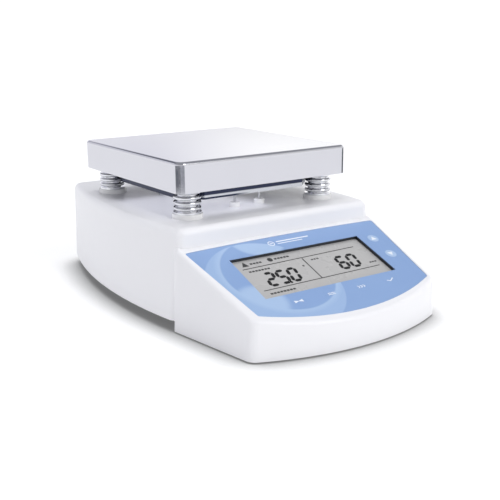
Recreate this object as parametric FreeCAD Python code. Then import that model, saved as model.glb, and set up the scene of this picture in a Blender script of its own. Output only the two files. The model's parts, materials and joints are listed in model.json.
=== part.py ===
"""Hot-plate magnetic stirrer: a bench instrument with a square heated plate and a sloping control panel.

Frame: millimetres, +Z up, front of the instrument towards -Y, origin on the bench under the centre of the
bounding box. Each function makes one sub-assembly and returns {node name: shape}.
"""

import FreeCAD, Part
import math
import os

V = FreeCAD.Vector
X_AXIS, Y_AXIS, Z_AXIS = V(1, 0, 0), V(0, 1, 0), V(0, 0, 1)

# ---------------------------------------------------------------- driving dimensions
BODY_LENGTH = 314.0          # front of the bowed nose to the rear wall, at bench level
REAR_Y = BODY_LENGTH / 2
NOSE_Y = -BODY_LENGTH / 2
JOIN_Y = -60.5               # where the tall body meets the low control nose
CORNER_Y = -138.2            # front corners of the nose; the nose bows out from here to NOSE_Y
HALF_WIDTH_MAX = 98.0        # half widths at bench level
WIDEST_Y = 7.2               # widest place at bench level; it moves to the rear by SIDE_LEAN per unit of height
SIDE_LEAN = 0.2
SIDE_R = 422.0               # radius of the bowed sides
HALF_WIDTH_JOIN = 92.6
HALF_WIDTH_CORNER = 82.5
SIDE_DRAFT = 0.088           # walls lean in by this much per unit of height
NOSE_DRAFT = 0.055
REAR_DRAFT = 0.053
FRONT_DRAFT = 0.037
WALL = 2.5

NOSE_BOTTOM_Z = 1.3          # lower rims of the housing
BODY_BOTTOM_Z = 8.7
DECK_Z = 72.5                # top of the tall body
PANEL_TOP_Z = 59.0           # upper edge of the sloping panel, at JOIN_Y
PANEL_SLOPE = 21.2           # degrees

PLATE_Y = 32.0               # centre of the hot plate and of the stirring axis
PLATE_SIDE = 153.0
PLATE_TOP_Z = 115.5
PLATE_SKIRT = 22.4
PLATE_SHEET = 1.5
PLATE_CORNER_R = 6.0
STANDOFF_SPAN = 121.0        # between standoff axes, both ways
STANDOFF_R = 10.3
WASHER_H = 3.5

HEATER_Z = 104.0             # underside of the cast heating plate
HEATER_SIDE = 143.0
ELEMENT_RING_R = 50.3
ELEMENT_R = 3.3
LEAD_X = 11.5                # half the spacing of the two heater leads
SHIELD_SIDE = 120.0
SHIELD_Z = 83.5              # underside of the heat shield tray
SHIELD_FLAT = 91.0           # length of each straight side between the cut corners
SHEET = 1.0

SHAFT_R = 2.5
RUNNING = 0.04               # radial clearance of the shaft in its bearings
MOTOR_R = 22.0
MOTOR_BOTTOM_Z, MOTOR_TOP_Z = 30.0, 62.0
ROTOR_Z = 86.0
MAGNET_RADIUS = 22.0         # distance of the drive magnets from the axis

BASE_T = 1.5
BASE_TOP_Z = BODY_BOTTOM_Z + BASE_T
FOOT_R = 9.0
FEET = [(x, y) for x in (-58.0, 58.0) for y in (-105.0, 126.0)]
BOSSES = [(s * x, y) for x, y in ((78.0, -113.0), (85.0, -20.0), (65.0, 141.0)) for s in (-1, 1)]

WINDOW_U, WINDOW_V = -0.5, -43.2     # centre of the display window on the panel
WINDOW_W, WINDOW_H = 116.6, 46.0
KEY_R = 5.5
KEYS = {                             # centre of each key on the panel
    "key_up": (69.0, -27.0),
    "key_down": (69.0, -48.0),
    "key_timer": (-38.0, -75.0),
    "key_heat": (-10.0, -75.0),
    "key_speed": (17.0, -75.0),
    "key_set": (44.5, -75.0),
}
OVERLAY_DEPTH = 0.8                  # recess for the printed overlay
OVERLAY_T = 0.5
GLASS_N = -3.2                       # face of the display below the panel surface
BOARD_N = -8.0                       # top of the display board below the panel surface

REAR_PAD_Y = 153.0                   # flat connector panel let into the rear wall
INLET_X, SWITCH_X, PROBE_X = 44.0, 4.0, -40.0
SOCKET_Z = 38.0
ROCKER_TILT = 8.0                    # degrees each side of level


# ---------------------------------------------------------------- helpers
def box(x0, x1, y0, y1, z0, z1):
    return Part.makeBox(x1 - x0, y1 - y0, z1 - z0, V(x0, y0, z0))


def rod(r, z0, z1, x=0.0, y=0.0):
    return Part.makeCylinder(r, z1 - z0, V(x, y, z0))


def rod_y(r, y0, y1, x, z):
    return Part.makeCylinder(r, y1 - y0, V(x, y0, z), Y_AXIS)


def prism(points, height, direction=Z_AXIS):
    """Solid from a closed polygon of 3-D points, pushed along a direction."""
    face = Part.Face(Part.makePolygon([V(*p) for p in points] + [V(*points[0])]))
    return face.extrude(direction * height)


def rounded_plate(w, d, r, z0, z1, x=0.0, y=0.0):
    """Upright rectangular block with rounded vertical edges."""
    block = box(x - w / 2, x + w / 2, y - d / 2, y + d / 2, z0, z1)
    return fillet_where(block, r, upright)


def fuse(shapes):
    shapes = list(shapes)
    return shapes[0].fuse(shapes[1:]).removeSplitter() if len(shapes) > 1 else shapes[0]


def cut(shape, tools):
    return shape.cut(list(tools))


def group(shapes):
    return Part.makeCompound(list(shapes))


def fillet_where(shape, radius, chosen):
    """Fillets the edges for which chosen(edge) is true."""
    return shape.makeFillet(radius, [e for e in shape.Edges if chosen(e)])


def screw(x, y, z, length, r=1.5, head_r=2.8, head_h=1.6, up=True):
    """Pan-head screw whose head sits against the plane z; its shank points up or down."""
    s = 1 if up else -1
    head = rod(head_r, min(z, z - s * head_h), max(z, z - s * head_h), x, y)
    shank = rod(r, min(z, z + s * length), max(z, z + s * length), x, y)
    drive = box(x - head_r * 0.6, x + head_r * 0.6, y - 0.35, y + 0.35, -0.4, 0.4)
    cross = drive.fuse(drive.rotated(V(x, y, 0), Z_AXIS, 90)).translated(V(0, 0, z - s * head_h))
    return head.fuse(shank).cut(cross)


def wire_tube(points, r, bend):
    """Round tube along straight runs joined by tangent arcs of radius bend."""
    pts = [V(*p) for p in points]
    edges, start = [], pts[0]
    for before, corner, after in zip(pts, pts[1:], pts[2:]):
        back, ahead = (before - corner).normalize(), (after - corner).normalize()
        half = back.getAngle(ahead) / 2
        reach = bend / math.tan(half)
        entry, leave = corner + back * reach, corner + ahead * reach
        inward = (back + ahead).normalize()
        middle = corner + inward * (bend / math.sin(half) - bend)
        edges += [Part.LineSegment(start, entry).toShape(), Part.Arc(entry, middle, leave).toShape()]
        start = leave
    edges.append(Part.LineSegment(start, pts[-1]).toShape())
    path = Part.Wire(edges)
    ring = Part.Wire(Part.makeCircle(r, pts[0], (pts[1] - pts[0]).normalize()))
    return path.makePipeShell([ring], True, False)


# ---------------------------------------------------------------- the outer form
def upright(edge):
    return abs(edge.tangentAt(edge.FirstParameter).z) > 0.9


def body_block(inset, top):
    """Tall body with every wall moved in by inset: bowed, drafted sides between straight ends."""
    rear = REAR_Y - inset
    front = JOIN_Y + inset
    block = prism([(-120, front, 0), (-120, rear, 0), (-120, rear - REAR_DRAFT * top, top), (-120, front, top)],
                  240, X_AXIS)
    for s in (-1, 1):
        r = SIDE_R - inset
        centre = V(s * (HALF_WIDTH_MAX - SIDE_R), WIDEST_Y, 0)
        side = Part.makeCone(r + SIDE_DRAFT * 100, r - SIDE_DRAFT * 200, 300, centre - V(0, 0, 100))
        side.rotate(centre, Z_AXIS, 90)      # keeps the cone's seam out of the wall
        side.rotate(centre, X_AXIS, -math.degrees(math.atan(SIDE_LEAN)))
        block = block.common(side)
    return block


def nose_block(inset, height=65.0, tuck=8.0):
    """Control nose: sides that taper to the front, a bowed front, and its rear tucked into the tall body."""
    taper = (HALF_WIDTH_JOIN - HALF_WIDTH_CORNER) / (JOIN_Y - CORNER_Y)
    far, rear = NOSE_Y - 20, JOIN_Y + tuck - inset
    outlines = []
    for z in (0.0, height):
        half = [HALF_WIDTH_CORNER + taper * (y - CORNER_Y) - NOSE_DRAFT * z - inset for y in (far, rear)]
        points = [V(half[0], far, z), V(half[1], rear, z), V(-half[1], rear, z), V(-half[0], far, z)]
        outlines.append(Part.makePolygon(points + points[:1]))
    block = Part.makeLoft(outlines, True, True)
    bulge = CORNER_Y - NOSE_Y
    r = (HALF_WIDTH_CORNER ** 2 + bulge ** 2) / (2 * bulge)
    bow = Part.makeCone(r - inset, r - inset - FRONT_DRAFT * height, height, V(0, NOSE_Y + r, 0))
    return block.common(bow)


def to_panel(shape):
    """Moves a shape made in panel coordinates (u, v, n) onto the panel."""
    placed = shape.copy()
    placed.rotate(V(0, 0, 0), X_AXIS, PANEL_SLOPE)
    placed.translate(V(0, JOIN_Y, PANEL_TOP_Z))
    return placed


def above_panel(depth):
    """Everything above a plane parallel to the panel, depth below its surface."""
    return to_panel(box(-150, 150, -150, 60, -depth, 120))


def outer_form(inset, body_bottom, nose_bottom, rounding):
    """The housing's whole outer form, with every wall moved in by inset."""
    top = DECK_Z - inset
    corner_r = max(8.0 - inset, 1.0)
    body = body_block(inset, top)
    body = fillet_where(body, corner_r, lambda e: upright(e) and e.CenterOfMass.y > 0)
    if rounding:
        body = fillet_where(body, 6.0, lambda e: upright(e) and e.CenterOfMass.y < 0)
        body = fillet_where(body, rounding, lambda e: e.CenterOfMass.z > top - 0.1)
    nose = nose_block(inset)
    nose = fillet_where(nose, corner_r, upright)
    nose = nose.cut(above_panel(inset))
    if rounding:
        nose = fillet_where(nose, rounding * 0.6, lambda e: 20 < e.CenterOfMass.z < PANEL_TOP_Z - 0.5
                            and e.CenterOfMass.y < JOIN_Y and not upright(e))
    nose = nose.cut(box(-150, 150, -200, 50, -1, nose_bottom))
    nose = nose.cut(box(-150, 150, JOIN_Y, 50, -1, body_bottom))
    body = body.cut(box(-150, 150, -200, 200, -1, body_bottom))
    return body.fuse(nose).removeSplitter()


# ---------------------------------------------------------------- housing
def overlay_outline(shrink, n0, n1):
    """The overlay's shape on the panel: straight sides that taper to the front, ends slightly bowed."""
    rear_u, rear_v, rear_mid = 85.6 - shrink, -4.8 - shrink, -3.2 - shrink
    front_v, front_mid = -80.2 + shrink, -96.2 + shrink
    left_u, right_u = -74.4 + shrink, 77.0 - shrink
    edges = [
        Part.Arc(V(rear_u, rear_v, n0), V(0, rear_mid, n0), V(-rear_u, rear_v, n0)).toShape(),
        Part.makeLine(V(-rear_u, rear_v, n0), V(left_u, front_v, n0)),
        Part.Arc(V(left_u, front_v, n0), V(0, front_mid, n0), V(right_u, front_v, n0)).toShape(),
        Part.makeLine(V(right_u, front_v, n0), V(rear_u, rear_v, n0)),
    ]
    solid = Part.Face(Part.Wire(edges)).extrude(V(0, 0, n1 - n0))
    return fillet_where(solid, 2.0 - shrink, upright)


def window_block(grow, n0, n1):
    w, h = WINDOW_W / 2 + grow, WINDOW_H / 2 + grow
    return box(WINDOW_U - w, WINDOW_U + w, WINDOW_V - h, WINDOW_V + h, n0, n1)


DISPLAY_SCREWS = [(u, v) for u in (-67.0, 69.0) for v in (-13.0, -77.0)]


def housing():
    outer = outer_form(0.0, BODY_BOTTOM_Z, NOSE_BOTTOM_Z, 5.0)
    inner = outer_form(WALL, 0.0, 0.0, 0.0)
    shell = outer.cut(inner)
    # bosses for the base screws, the bracket and the display board, trimmed to the inside of the shell
    posts = [rod(4.0, BASE_TOP_Z, DECK_Z, x, y) for x, y in BOSSES]
    posts += [rod(4.0, MOTOR_TOP_Z + 2.0, DECK_Z, x, PLATE_Y + y) for x, y in BRACKET_HOLES]
    posts += [to_panel(rod(3.0, BOARD_N, 0, u, v)) for u, v in DISPLAY_SCREWS]
    pad = box(-65, 65, REAR_PAD_Y - WALL, REAR_Y, 17, 60)
    shell = shell.fuse([p.common(inner) for p in posts] + [pad.common(inner)]).removeSplitter()
    holes = [rod(1.5, 0, BASE_TOP_Z + 8, x, y) for x, y in BOSSES]
    holes += [rod(1.5, MOTOR_TOP_Z - 1, DECK_Z - WALL, x, PLATE_Y + y) for x, y in BRACKET_HOLES]
    holes += [to_panel(rod(1.1, BOARD_N - 1, -3.0, u, v)) for u, v in DISPLAY_SCREWS]
    holes += [rod(2.1, DECK_Z - 12, DECK_Z + 1, x, y) for x, y in standoff_places()]
    holes += [rod(6.0, DECK_Z - 12, DECK_Z + 1, 0, PLATE_Y)]
    holes += [rod(3.0, DECK_Z - 12, DECK_Z + 1, s * LEAD_X, lead_y()) for s in (-1, 1)]
    holes += [rod(1.6, DECK_Z - 12, DECK_Z + 1, *SENSOR_XY)]
    holes += [to_panel(overlay_outline(0.0, -OVERLAY_DEPTH, 20))]
    holes += [to_panel(window_block(2.0, -10, 5))]
    holes += [to_panel(rod(KEY_R + 0.5, -6, 5, u, v)) for u, v in KEYS.values()]
    # rear panel: a shallow recess with a cut-out for each fitting
    holes += [box(-62, 62, REAR_PAD_Y, REAR_Y + 5, 19, 58)]
    holes += [box(x - 1.2, x + 1.2, 137, 162, SOCKET_Z - 13, SOCKET_Z + 13) for x in VENTS_X]
    holes += [box(INLET_X - 13.8, INLET_X + 13.8, 137, 162, SOCKET_Z - 15, SOCKET_Z + 15)]
    holes += [box(SWITCH_X - 6.5, SWITCH_X + 6.5, 137, 162, SOCKET_Z - 9.6, SOCKET_Z + 9.6)]
    holes += [rod_y(4.1, 137, 162, PROBE_X, SOCKET_Z)]
    return {"housing": shell.cut(holes)}


BRACKET_HOLES = [(x, y) for x in (-31.0, 31.0) for y in (-16.0, 16.0)]
SENSOR_XY = (-34.0, PLATE_Y + 24.0)
VENTS_X = (-28.0, -23.0, -18.0, -13.0)


def standoff_places():
    half = STANDOFF_SPAN / 2
    return [(x, PLATE_Y + y) for x in (-half, half) for y in (-half, half)]


def lead_y():
    return PLATE_Y - math.sqrt(ELEMENT_RING_R ** 2 - LEAD_X ** 2)


def base():
    """Sheet-metal floor with its feet and screws."""
    z = BODY_BOTTOM_Z
    gap = WALL + 0.6
    floor = outer_form(gap, 0.0, 0.0, 0.0).common(box(-150, 150, -200, 200, z, z + BASE_T))
    slots = [rounded_plate(3.2, 44.0, 1.5, z - 1, z + 3, x, PLATE_Y)
             for x in [-24.5 + 7.0 * i for i in range(8)]]
    slots += [rounded_plate(6.0, 44.0, 2.9, z - 1, z + 3, x, 12.0) for x in (48.0, 60.0, 72.0)]
    holes = [rod(1.7, z - 1, z + 3, x, y) for x, y in BOSSES]
    holes += [rod(2.05, z - 1, z + 3, x, y) for x, y in FEET]
    holes += [rod(1.95, z - 1, z + 3, x, y) for x, y in power_board_corners()]
    feet, foot_screws = [], []
    for x, y in FEET:
        pad = Part.makeCone(FOOT_R, FOOT_R - 1.2, z, V(x, y, 0))
        pad = cut(pad, [rod(4.6, -1, 4.0, x, y), rod(2.1, -1, z + 1, x, y)])
        feet.append(pad)
        foot_screws.append(screw(x, y, 4.0, BASE_TOP_Z + 2.0 - 4.0, r=2.0, head_r=3.8, head_h=2.2))
    return {
        "base_plate": floor.cut(slots + holes),
        "rubber_feet": group(feet),
        "foot_screws": group(foot_screws),
        "case_screws": group(case_screws()),
    }


def case_screws():
    """The same M3 x 8 pan-head screw holds the floor, the motor bracket and the power board."""
    floor = [screw(x, y, BODY_BOTTOM_Z, 8.0, r=1.45) for x, y in BOSSES]
    bracket = [screw(x, PLATE_Y + y, MOTOR_TOP_Z, 8.0, r=1.45) for x, y in BRACKET_HOLES]
    board = [screw(x, y, POWER_BOARD_Z + 1.6, 8.0, r=1.45, up=False) for x, y in power_board_corners()]
    return floor + bracket + board


# ---------------------------------------------------------------- hot plate
def standoff(x, y):
    """Ribbed pillar with round fins, on a plain foot, with a stud into the heating plate."""
    z0 = DECK_Z + WASHER_H
    fin_pitch, fins, neck = 4.0, 6, 7.6
    foot_top = z0 + 1.3
    bulge = 1.45
    body = rod(STANDOFF_R, z0, foot_top, x, y).fuse(rod(neck, foot_top, HEATER_Z, x, y))
    for i in range(fins):
        z = foot_top + fin_pitch * i + (fin_pitch - 2 * bulge) + bulge
        disc = rod(STANDOFF_R - bulge, z - bulge, z + bulge, x, y)
        ring = Part.makeTorus(STANDOFF_R - bulge, bulge, V(x, y, z))
        body = body.fuse([disc, ring])
    stud = rod(2.5, HEATER_Z, HEATER_Z + 6, x, y)
    return body.fuse(stud).removeSplitter().cut(rod(1.9, z0 - 1, z0 + 11, x, y))


def plate_stack():
    """Steel cover, cast heating plate with its element, insulation and shield tray, on four standoffs."""
    half = PLATE_SIDE / 2
    z0, z1 = PLATE_TOP_Z - PLATE_SKIRT, PLATE_TOP_Z
    cover = rounded_plate(PLATE_SIDE, PLATE_SIDE, PLATE_CORNER_R, z0, z1, 0, PLATE_Y)
    cover = fillet_where(cover, 2.3, lambda e: e.BoundBox.ZMin > z1 - 0.01)
    hollow = rounded_plate(PLATE_SIDE - 2 * PLATE_SHEET, PLATE_SIDE - 2 * PLATE_SHEET,
                           PLATE_CORNER_R - PLATE_SHEET, z0 - 1, z1 - PLATE_SHEET, 0, PLATE_Y)
    cover = cover.cut(hollow)

    plate = rounded_plate(HEATER_SIDE, HEATER_SIDE, 5.0, HEATER_Z, z1 - PLATE_SHEET, 0, PLATE_Y)
    channel = rod(ELEMENT_RING_R + 3.5, HEATER_Z - 1, HEATER_Z + 7.0, 0, PLATE_Y).cut(
        rod(ELEMENT_RING_R - 3.5, HEATER_Z - 2, HEATER_Z + 8.0, 0, PLATE_Y))
    places = standoff_places()
    cavities = [channel] + [rod(2.6, HEATER_Z - 1, HEATER_Z + 6.5, x, y) for x, y in places]
    cavities += [rod(1.6, HEATER_Z - 1, HEATER_Z + 4, *SENSOR_XY)]
    cavities += [rod(1.5, HEATER_Z - 1, HEATER_Z + 6, x, y) for x, y in shield_screw_places()]

    swing = math.degrees(math.asin(LEAD_X / ELEMENT_RING_R))
    z_ring = HEATER_Z + ELEMENT_R + 0.1
    ring = Part.makeTorus(ELEMENT_RING_R, ELEMENT_R, V(0, 0, 0), Z_AXIS, 0, 360, 360 - 2 * swing)
    ring.rotate(V(0, 0, 0), Z_AXIS, -90 + swing)
    ring.translate(V(0, PLATE_Y, z_ring))
    legs = []
    for s in (-1, 1):
        legs.append(Part.makeSphere(ELEMENT_R, V(s * LEAD_X, lead_y(), z_ring)))
        legs.append(rod(ELEMENT_R, 90.0, z_ring, s * LEAD_X, lead_y()))
    element = ring.fuse(legs).removeSplitter()

    parts = {
        "top_plate": cover,
        "heating_plate": plate.cut(cavities),
        "heating_element": element,
        "standoffs": group(standoff(x, y) for x, y in places),
        "standoff_washers": group(standoff_washer(x, y) for x, y in places),
        "standoff_screws": group(screw(x, y, DECK_Z - WALL, WALL + WASHER_H + 10, r=1.85, head_r=3.6, head_h=2.4)
                                 for x, y in places),
    }
    parts.update(shield_and_pad())
    parts.update(leads_and_sensor())
    return parts


def standoff_washer(x, y):
    ring = rod(STANDOFF_R + 1.0, DECK_Z, DECK_Z + WASHER_H, x, y)
    ring = fillet_where(ring, 0.8, lambda e: e.CenterOfMass.z > DECK_Z + WASHER_H - 0.1)
    return ring.cut(rod(2.2, DECK_Z - 1, DECK_Z + 5, x, y))


def cut_corner_square(side, flat, z0, z1):
    """Square block with its corners cut back to straight sides of length flat."""
    a, b = side / 2, flat / 2
    ring = [(b, a), (-b, a), (-a, b), (-a, -b), (-b, -a), (b, -a), (a, -b), (a, b)]
    return prism([(x, PLATE_Y + y, z0) for x, y in ring], z1 - z0)


def shield_screw_places():
    return [(x, PLATE_Y + y) for x in (-40.0, 40.0) for y in (-40.0, 40.0)]


def shield_and_pad():
    """Sheet tray that hangs under the heating plate and holds the insulation, open in the middle."""
    tray = cut_corner_square(SHIELD_SIDE, SHIELD_FLAT, SHIELD_Z, HEATER_Z)
    tray = tray.cut(cut_corner_square(SHIELD_SIDE - 2 * SHEET, SHIELD_FLAT - 0.8, SHIELD_Z + SHEET, HEATER_Z + 1))
    rotor_well = 34.0
    holes = [rod(rotor_well, SHIELD_Z - 1, SHIELD_Z + 3, 0, PLATE_Y)]
    holes += [rod(4.5, SHIELD_Z - 1, SHIELD_Z + 3, s * LEAD_X, lead_y()) for s in (-1, 1)]
    holes += [rod(2.2, SHIELD_Z - 1, SHIELD_Z + 3, *SENSOR_XY)]
    holes += [rod(1.7, SHIELD_Z - 1, SHIELD_Z + 3, x, y) for x, y in shield_screw_places()]
    floor = SHIELD_Z + SHEET
    pad = cut_corner_square(SHIELD_SIDE - 2 * SHEET - 1, SHIELD_FLAT - 2, floor, HEATER_Z)
    pad_holes = [rod(rotor_well + 2, floor - 1, floor + 14, 0, PLATE_Y)]
    pad_holes += [rod(4.5, floor - 1, HEATER_Z + 1, s * LEAD_X, lead_y()) for s in (-1, 1)]
    pad_holes += [rod(2.2, floor - 1, HEATER_Z + 1, *SENSOR_XY)]
    pad_holes += [rod(2.0, floor - 1, HEATER_Z + 1, x, y) for x, y in shield_screw_places()]
    pad_holes += [box(-11, 11, -150, lead_y(), floor - 1, 90)]
    return {
        "heat_shield": tray.cut(holes),
        "insulation_pad": pad.cut(pad_holes),
        "shield_screws": group(screw(x, y, SHIELD_Z, HEATER_Z - SHIELD_Z + 5, r=1.45)
                               for x, y in shield_screw_places()),
    }


def leads_and_sensor():
    """Heater lead rods in ceramic bushings, and the sensor rod that reads the plate."""
    leads, bushings = [], []
    for s in (-1, 1):
        x, y = s * LEAD_X, lead_y()
        leads.append(rod(1.1, DECK_Z - 9, 90.0, x, y))
        cap = rod(4.2, DECK_Z, DECK_Z + 3.4, x, y)
        cap = fillet_where(cap, 0.8, lambda e: e.CenterOfMass.z > DECK_Z + 3.3)
        bushing = cap.fuse(rod(2.9, DECK_Z - 5, DECK_Z, x, y)).removeSplitter()
        bushings.append(bushing.cut(rod(1.2, DECK_Z - 6, DECK_Z + 5, x, y)))
    sensor = rod(1.5, DECK_Z - 8, HEATER_Z + 3.5, *SENSOR_XY)
    collar = rod(2.8, DECK_Z, DECK_Z + 2.0, *SENSOR_XY)
    return {
        "heater_leads": group(leads),
        "lead_bushings": group(bushings),
        "temperature_sensor": sensor.fuse(collar).removeSplitter(),
    }


# ---------------------------------------------------------------- stirring drive
def drive():
    """Motor on its bracket, with the magnet carrier above the deck and the cooling fan below."""
    c = (0.0, PLATE_Y)
    can = rod(MOTOR_R, MOTOR_BOTTOM_Z, MOTOR_TOP_Z, *c)
    can = cut(can, [rod(MOTOR_R - 1.5, MOTOR_BOTTOM_Z + 1.5, MOTOR_TOP_Z - 1.5, *c),
                    rod(5.0, MOTOR_BOTTOM_Z - 1, MOTOR_TOP_Z + 1, *c)])
    can = can.cut([rod(1.3, MOTOR_TOP_Z - 3, MOTOR_TOP_Z + 1, s * 14.0, PLATE_Y) for s in (-1, 1)])
    bearing = lambda z: rod(5.0, z, z + 1.5, *c).fuse(rod(4.2, z + 1.5, z + 4.0, *c)).cut(
        rod(SHAFT_R + RUNNING, z - 1, z + 5, *c))
    lower = bearing(MOTOR_BOTTOM_Z)
    upper = bearing(0).rotated(V(0, PLATE_Y, 0), X_AXIS, 180).translated(V(0, 0, MOTOR_TOP_Z))
    gap = 4.5
    stator = rod(MOTOR_R - 1.5, MOTOR_BOTTOM_Z + 6, MOTOR_TOP_Z - 6, *c).cut(
        rod(13.0, MOTOR_BOTTOM_Z, MOTOR_TOP_Z, *c))
    core = rod(12.4, MOTOR_BOTTOM_Z + gap + 2, MOTOR_TOP_Z - gap - 2, *c)
    core = core.cut(rod(SHAFT_R, MOTOR_BOTTOM_Z, MOTOR_TOP_Z, *c))
    shaft = rod(SHAFT_R, 16.0, ROTOR_Z + 5, *c)

    bracket = rounded_plate(74.0, 44.0, 5.0, MOTOR_TOP_Z, MOTOR_TOP_Z + 2, 0, PLATE_Y)
    bracket = bracket.cut([rod(6.0, MOTOR_TOP_Z - 1, MOTOR_TOP_Z + 3, *c)]
                          + [rod(1.5, MOTOR_TOP_Z - 1, MOTOR_TOP_Z + 3, s * 14.0, PLATE_Y) for s in (-1, 1)]
                          + [rod(1.8, MOTOR_TOP_Z - 1, MOTOR_TOP_Z + 3, x, PLATE_Y + y) for x, y in BRACKET_HOLES])

    arm = rounded_plate(60.0, 18.0, 8.5, ROTOR_Z, ROTOR_Z + 3, 0, PLATE_Y)
    hub = rod(7.0, ROTOR_Z - 3, ROTOR_Z + 3, *c)
    cups = [rod(8.5, ROTOR_Z + 3, ROTOR_Z + 7, s * MAGNET_RADIUS, PLATE_Y) for s in (-1, 1)]
    carrier = arm.fuse([hub] + cups).removeSplitter()
    pockets = [rod(7.05, ROTOR_Z + 1.5, ROTOR_Z + 9, s * MAGNET_RADIUS, PLATE_Y) for s in (-1, 1)]
    carrier = carrier.cut(pockets + [rod(SHAFT_R, ROTOR_Z - 4, ROTOR_Z + 5, *c)])
    magnets = [rod(7.0, ROTOR_Z + 1.5, ROTOR_Z + 8.5, s * MAGNET_RADIUS, PLATE_Y) for s in (-1, 1)]

    fan = rod(6.0, 17.0, 27.0, *c).fuse([fan_blade(60.0 * i) for i in range(6)]).removeSplitter()
    fan = fan.cut(rod(SHAFT_R, 10, 40, *c))
    return {
        "motor_can": can,
        "motor_bearings": group([lower, upper]),
        "motor_stator": stator,
        "motor_armature": core,
        "motor_shaft": shaft,
        "motor_bracket": bracket,
        "motor_screws": group(screw(s * 14.0, PLATE_Y, MOTOR_TOP_Z + 2, 4.6, r=1.25, head_r=2.4, up=False)
                              for s in (-1, 1)),
        "magnet_carrier": carrier,
        "drive_magnets": group(magnets),
        "cooling_fan": fan,
    }


def fan_blade(angle):
    """Flat blade set at 30 degrees to the fan's plane."""
    blade = box(4.5, 21.5, -5.5, 5.5, -0.6, 0.6)
    blade.rotate(V(0, 0, 0), X_AXIS, 30)
    blade.translate(V(0, 0, 22.0))
    blade.rotate(V(0, 0, 0), Z_AXIS, angle)
    blade.translate(V(0, PLATE_Y, 0))
    return blade


# ---------------------------------------------------------------- control panel
def panel_parts():
    overlay = overlay_outline(0.15, -OVERLAY_DEPTH, -OVERLAY_DEPTH + OVERLAY_T)
    overlay = overlay.cut([window_block(0.0, -5, 5)] + [rod(KEY_R + 0.3, -5, 5, u, v) for u, v in KEYS.values()])
    frame = window_block(4.5, BOARD_N, -WALL - 0.1).fuse(window_block(1.9, -WALL - 0.1, -OVERLAY_DEPTH))
    frame = frame.removeSplitter().cut([window_block(3.05, BOARD_N - 1, GLASS_N), window_block(0.0, -10, 5)])
    module = window_block(3.0, BOARD_N, GLASS_N)
    board = box(-71, 74, -81, -9, BOARD_N - 1.6, BOARD_N)
    board = board.cut([rod(1.5, BOARD_N - 5, BOARD_N + 1, u, v) for u, v in DISPLAY_SCREWS])
    parts = {
        "panel_overlay": to_panel(overlay),
        "display_frame": to_panel(frame),
        "display_module": to_panel(module),
        "display_board": to_panel(board),
        "display_screws": group(to_panel(screw(u, v, BOARD_N - 1.6, 6.0, r=1.05, head_r=2.2, head_h=1.3))
                                for u, v in DISPLAY_SCREWS),
        "beeper": to_panel(rod(6.0, BOARD_N - 9.6, BOARD_N - 1.6, -45.0, -40.0).cut(
            rod(1.0, BOARD_N - 11, BOARD_N - 8, -45.0, -40.0))),
    }
    switches = []
    for name, (u, v) in KEYS.items():
        top = BOARD_N + 2.6
        case = box(u - 3, u + 3, v - 3, v + 3, BOARD_N, top)
        switches.append(case.cut(rod(2.0, BOARD_N + 0.9, top + 1, u, v)))
        cap = rod(KEY_R, -OVERLAY_DEPTH, -OVERLAY_DEPTH + OVERLAY_T, u, v)
        plunger = rod(1.7, BOARD_N + 1.7, -OVERLAY_DEPTH, u, v)
        parts[name] = to_panel(cap.fuse(plunger))
    parts["key_switches"] = group(to_panel(s) for s in switches)
    return parts


# ---------------------------------------------------------------- power electronics
POWER_BOARD = (-80.0, -30.0, -25.0, 67.0)    # x0, x1, y0, y1
POWER_BOARD_Z = 20.0
TERMINAL_X = -33.0                           # face of the terminal blocks
TERMINALS_Y = [-11.2 + 8.0 * i for i in range(4)]


def power_board_corners():
    x0, x1, y0, y1 = POWER_BOARD
    return [(x, y) for x in (x0 + 5, x1 - 5) for y in (y0 + 5, y1 - 5)]


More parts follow.
